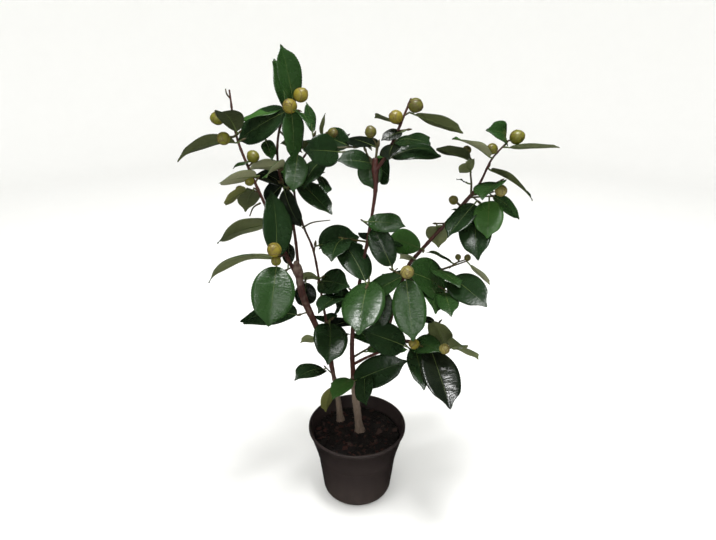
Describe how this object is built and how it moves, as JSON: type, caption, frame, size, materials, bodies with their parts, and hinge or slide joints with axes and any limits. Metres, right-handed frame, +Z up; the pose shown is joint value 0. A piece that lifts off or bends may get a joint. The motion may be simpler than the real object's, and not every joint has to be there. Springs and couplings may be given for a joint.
{
  "type": "camellia shrub in a nursery pot",
  "caption": "Young camellia shrub in bud, with glossy dark green leaves on slender branching stems, growing in a tapered plastic nursery pot.",
  "frame": {"origin": "centre of the flat underside of the pot", "axes": "+Z up along the axis of the pot, and the widest spread of the shrub along X"},
  "size_m": [0.4844, 0.2823, 0.6679],
  "materials": {
    "pot_plastic": "moulded polypropylene in grey-brown, with a soft sheen",
    "potting_bark": "moist composted bark in loose chips",
    "bark": "smooth thin bark, grey-beige at the foot and red-brown above",
    "young_bark": "smooth red-brown bark of young wood",
    "foliage": "waxy leaf, glossy dark green above and matt olive below"
  },
  "bodies": {
    "root": {"pot": "pot_plastic", "soil": "potting_bark", "stem_middle": "bark", "stem_left": "bark", "stem_thin": "bark", "bough_left_outer": "young_bark", "bough_left_inner": "young_bark", "bough_front_left": "young_bark", "bough_right": "young_bark", "bough_right_outer": "young_bark", "bough_right_upper": "young_bark", "bough_middle_right": "young_bark", "bough_lower_right": "young_bark", "bough_front_middle": "young_bark", "bough_front_right": "young_bark", "foliage_upper_left": "foliage", "foliage_upper_centre": "foliage", "foliage_upper_middle": "foliage", "foliage_middle_right": "foliage", "foliage_upper_right": "foliage", "foliage_fork": "foliage", "foliage_right": "foliage", "foliage_centre_right": "foliage", "foliage_centre": "foliage", "foliage_lower_right": "foliage", "foliage_lower_centre": "foliage", "foliage_middle_left": "foliage", "foliage_low_right": "foliage", "foliage_low_centre": "foliage", "foliage_low_left": "foliage", "foliage_base": "foliage", "foliage_back_left": "foliage", "foliage_back_top": "foliage", "foliage_back_middle": "foliage", "foliage_back_right": "foliage", "foliage_back_low": "foliage", "foliage_back_lower_left": "foliage", "foliage_back_right_upper": "foliage", "foliage_top": "foliage", "foliage_inner_left": "foliage", "foliage_left": "foliage", "foliage_front_left": "foliage"}
  },
  "joints": []
}
